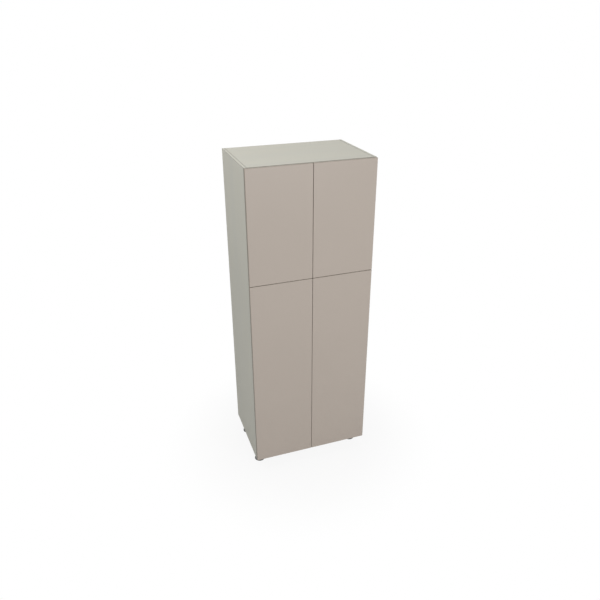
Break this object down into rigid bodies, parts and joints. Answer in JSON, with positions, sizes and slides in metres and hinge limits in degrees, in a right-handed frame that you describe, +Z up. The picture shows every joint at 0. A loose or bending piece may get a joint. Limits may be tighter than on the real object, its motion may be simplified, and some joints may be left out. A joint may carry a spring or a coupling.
{
  "type": "tall kitchen cupboard unit",
  "caption": "Tall kitchen cupboard unit with short doors over tall doors, flat handleless fronts, loose shelves and adjustable feet.",
  "frame": {"origin": "on the floor at the middle of the footprint", "axes": "+Z up, +Y from the doors to the back, +X to the right as seen from the front"},
  "size_m": [0.9, 0.621, 2.397],
  "materials": {
    "carcass_board": "matte melamine-faced board",
    "door_board": "matte lacquered board",
    "back_board": "matte melamine-faced board",
    "hinge_steel": "nickel-plated steel",
    "latch_plastic": "moulded, fine grain",
    "leg_plastic": "moulded, fine grain",
    "bracket_steel": "zinc-plated steel"
  },
  "bodies": {
    "carcass": {"side_panel_left": "carcass_board", "side_panel_right": "carcass_board", "top_panel": "carcass_board", "base_panel": "carcass_board", "middle_shelf": "carcass_board", "back_panel_lower": "back_board", "back_panel_upper": "back_board", "upper_shelf": "carcass_board", "lower_shelf_1": "carcass_board", "lower_shelf_2": "carcass_board", "shelf_pins": "hinge_steel", "hinge_arms": "hinge_steel", "mounting_plates": "hinge_steel", "latch_housings": "latch_plastic", "leg_sockets": "leg_plastic", "wall_brackets": "bracket_steel"},
    "outer_links_lower_door_left": {"outer_links_lower_door_left": "hinge_steel"},
    "lower_door_left": {"lower_door_left": "door_board", "hinge_cups_lower_door_left": "hinge_steel", "strike_plate_lower_door_left": "hinge_steel"},
    "inner_links_lower_door_left": {"inner_links_lower_door_left": "hinge_steel"},
    "plunger_lower_door_left": {"plunger_lower_door_left": "latch_plastic"},
    "outer_links_lower_door_right": {"outer_links_lower_door_right": "hinge_steel"},
    "lower_door_right": {"lower_door_right": "door_board", "hinge_cups_lower_door_right": "hinge_steel", "strike_plate_lower_door_right": "hinge_steel"},
    "inner_links_lower_door_right": {"inner_links_lower_door_right": "hinge_steel"},
    "plunger_lower_door_right": {"plunger_lower_door_right": "latch_plastic"},
    "outer_links_upper_door_left": {"outer_links_upper_door_left": "hinge_steel"},
    "upper_door_left": {"upper_door_left": "door_board", "hinge_cups_upper_door_left": "hinge_steel", "strike_plate_upper_door_left": "hinge_steel"},
    "inner_links_upper_door_left": {"inner_links_upper_door_left": "hinge_steel"},
    "plunger_upper_door_left": {"plunger_upper_door_left": "latch_plastic"},
    "outer_links_upper_door_right": {"outer_links_upper_door_right": "hinge_steel"},
    "upper_door_right": {"upper_door_right": "door_board", "hinge_cups_upper_door_right": "hinge_steel", "strike_plate_upper_door_right": "hinge_steel"},
    "inner_links_upper_door_right": {"inner_links_upper_door_right": "hinge_steel"},
    "plunger_upper_door_right": {"plunger_upper_door_right": "latch_plastic"},
    "adjusting_ring_front_left": {"adjusting_ring_front_left": "leg_plastic"},
    "foot_front_left": {"foot_front_left": "leg_plastic"},
    "adjusting_ring_front_right": {"adjusting_ring_front_right": "leg_plastic"},
    "foot_front_right": {"foot_front_right": "leg_plastic"},
    "adjusting_ring_rear_left": {"adjusting_ring_rear_left": "leg_plastic"},
    "foot_rear_left": {"foot_rear_left": "leg_plastic"},
    "adjusting_ring_rear_right": {"adjusting_ring_rear_right": "leg_plastic"},
    "foot_rear_right": {"foot_rear_right": "leg_plastic"}
  },
  "joints": [
    {"name": "lower_door_left_link_turn", "type": "hinge", "parent": "carcass", "child": "outer_links_lower_door_left", "pos_m": [-0.41511, -0.27754, 0.8525], "axis": [0, 0, 1], "range_deg": [0, 19.01]},
    {"name": "lower_door_left_swing", "type": "hinge", "parent": "outer_links_lower_door_left", "child": "lower_door_left", "pos_m": [-0.43901, -0.29811, 0.8525], "axis": [0, 0, -1], "range_deg": [0, 114]},
    {"name": "lower_door_left_inner_link_turn", "type": "hinge", "parent": "carcass", "child": "inner_links_lower_door_left", "pos_m": [-0.41846, -0.29577, 0.8525], "axis": [0, 0, 1], "range_deg": [0, 25.75]},
    {"name": "lower_door_left_plunger_push", "type": "slide", "parent": "carcass", "child": "plunger_lower_door_left", "axis": [0, 1, 0], "range_m": [0, 0.0015], "stiffness_N_per_m": 250},
    {"name": "lower_door_right_link_turn", "type": "hinge", "parent": "carcass", "child": "outer_links_lower_door_right", "pos_m": [0.41511, -0.27754, 0.8525], "axis": [0, 0, -1], "range_deg": [0, 19.01]},
    {"name": "lower_door_right_swing", "type": "hinge", "parent": "outer_links_lower_door_right", "child": "lower_door_right", "pos_m": [0.43901, -0.29811, 0.8525], "axis": [0, 0, 1], "range_deg": [0, 114]},
    {"name": "lower_door_right_inner_link_turn", "type": "hinge", "parent": "carcass", "child": "inner_links_lower_door_right", "pos_m": [0.41846, -0.29577, 0.8525], "axis": [0, 0, -1], "range_deg": [0, 25.75]},
    {"name": "lower_door_right_plunger_push", "type": "slide", "parent": "carcass", "child": "plunger_lower_door_right", "axis": [0, 1, 0], "range_m": [0, 0.0015], "stiffness_N_per_m": 250},
    {"name": "upper_door_left_link_turn", "type": "hinge", "parent": "carcass", "child": "outer_links_upper_door_left", "pos_m": [-0.41511, -0.27754, 1.9985], "axis": [0, 0, 1], "range_deg": [0, 19.01]},
    {"name": "upper_door_left_swing", "type": "hinge", "parent": "outer_links_upper_door_left", "child": "upper_door_left", "pos_m": [-0.43901, -0.29811, 1.9985], "axis": [0, 0, -1], "range_deg": [0, 114]},
    {"name": "upper_door_left_inner_link_turn", "type": "hinge", "parent": "carcass", "child": "inner_links_upper_door_left", "pos_m": [-0.41846, -0.29577, 1.9985], "axis": [0, 0, 1], "range_deg": [0, 25.75]},
    {"name": "upper_door_left_plunger_push", "type": "slide", "parent": "carcass", "child": "plunger_upper_door_left", "axis": [0, 1, 0], "range_m": [0, 0.0015], "stiffness_N_per_m": 250},
    {"name": "upper_door_right_link_turn", "type": "hinge", "parent": "carcass", "child": "outer_links_upper_door_right", "pos_m": [0.41511, -0.27754, 1.9985], "axis": [0, 0, -1], "range_deg": [0, 19.01]},
    {"name": "upper_door_right_swing", "type": "hinge", "parent": "outer_links_upper_door_right", "child": "upper_door_right", "pos_m": [0.43901, -0.29811, 1.9985], "axis": [0, 0, 1], "range_deg": [0, 114]},
    {"name": "upper_door_right_inner_link_turn", "type": "hinge", "parent": "carcass", "child": "inner_links_upper_door_right", "pos_m": [0.41846, -0.29577, 1.9985], "axis": [0, 0, -1], "range_deg": [0, 25.75]},
    {"name": "upper_door_right_plunger_push", "type": "slide", "parent": "carcass", "child": "plunger_upper_door_right", "axis": [0, 1, 0], "range_m": [0, 0.0015], "stiffness_N_per_m": 250},
    {"name": "adjusting_ring_front_left_turn", "type": "hinge", "parent": "carcass", "child": "adjusting_ring_front_left", "pos_m": [-0.393, -0.1665, 0.058], "axis": [0, 0, 1], "range_deg": [-901, 1081]},
    {"name": "foot_front_left_height", "type": "slide", "parent": "carcass", "child": "foot_front_left", "axis": [0, 0, -1], "range_m": [-0.01, 0.012]},
    {"name": "adjusting_ring_front_right_turn", "type": "hinge", "parent": "carcass", "child": "adjusting_ring_front_right", "pos_m": [0.393, -0.1665, 0.058], "axis": [0, 0, 1], "range_deg": [-901, 1081]},
    {"name": "foot_front_right_height", "type": "slide", "parent": "carcass", "child": "foot_front_right", "axis": [0, 0, -1], "range_m": [-0.01, 0.012]},
    {"name": "adjusting_ring_rear_left_turn", "type": "hinge", "parent": "carcass", "child": "adjusting_ring_rear_left", "pos_m": [-0.393, 0.2055, 0.058], "axis": [0, 0, 1], "range_deg": [-901, 1081]},
    {"name": "foot_rear_left_height", "type": "slide", "parent": "carcass", "child": "foot_rear_left", "axis": [0, 0, -1], "range_m": [-0.01, 0.012]},
    {"name": "adjusting_ring_rear_right_turn", "type": "hinge", "parent": "carcass", "child": "adjusting_ring_rear_right", "pos_m": [0.393, 0.2055, 0.058], "axis": [0, 0, 1], "range_deg": [-901, 1081]},
    {"name": "foot_rear_right_height", "type": "slide", "parent": "carcass", "child": "foot_rear_right", "axis": [0, 0, -1], "range_m": [-0.01, 0.012]}
  ],
  "couplings": [
    {"joint": "lower_door_left_link_turn", "follows": "lower_door_left_swing", "ratio": 0.16667},
    {"joint": "lower_door_left_inner_link_turn", "follows": "lower_door_left_swing", "ratio": 0.22583},
    {"joint": "lower_door_right_link_turn", "follows": "lower_door_right_swing", "ratio": 0.16667},
    {"joint": "lower_door_right_inner_link_turn", "follows": "lower_door_right_swing", "ratio": 0.22583},
    {"joint": "upper_door_left_link_turn", "follows": "upper_door_left_swing", "ratio": 0.16667},
    {"joint": "upper_door_left_inner_link_turn", "follows": "upper_door_left_swing", "ratio": 0.22583},
    {"joint": "upper_door_right_link_turn", "follows": "upper_door_right_swing", "ratio": 0.16667},
    {"joint": "upper_door_right_inner_link_turn", "follows": "upper_door_right_swing", "ratio": 0.22583},
    {"joint": "adjusting_ring_front_left_turn", "follows": "foot_front_left_height", "rad_per_m": 1570.8},
    {"joint": "adjusting_ring_front_right_turn", "follows": "foot_front_right_height", "rad_per_m": 1570.8},
    {"joint": "adjusting_ring_rear_left_turn", "follows": "foot_rear_left_height", "rad_per_m": 1570.8},
    {"joint": "adjusting_ring_rear_right_turn", "follows": "foot_rear_right_height", "rad_per_m": 1570.8}
  ]
}
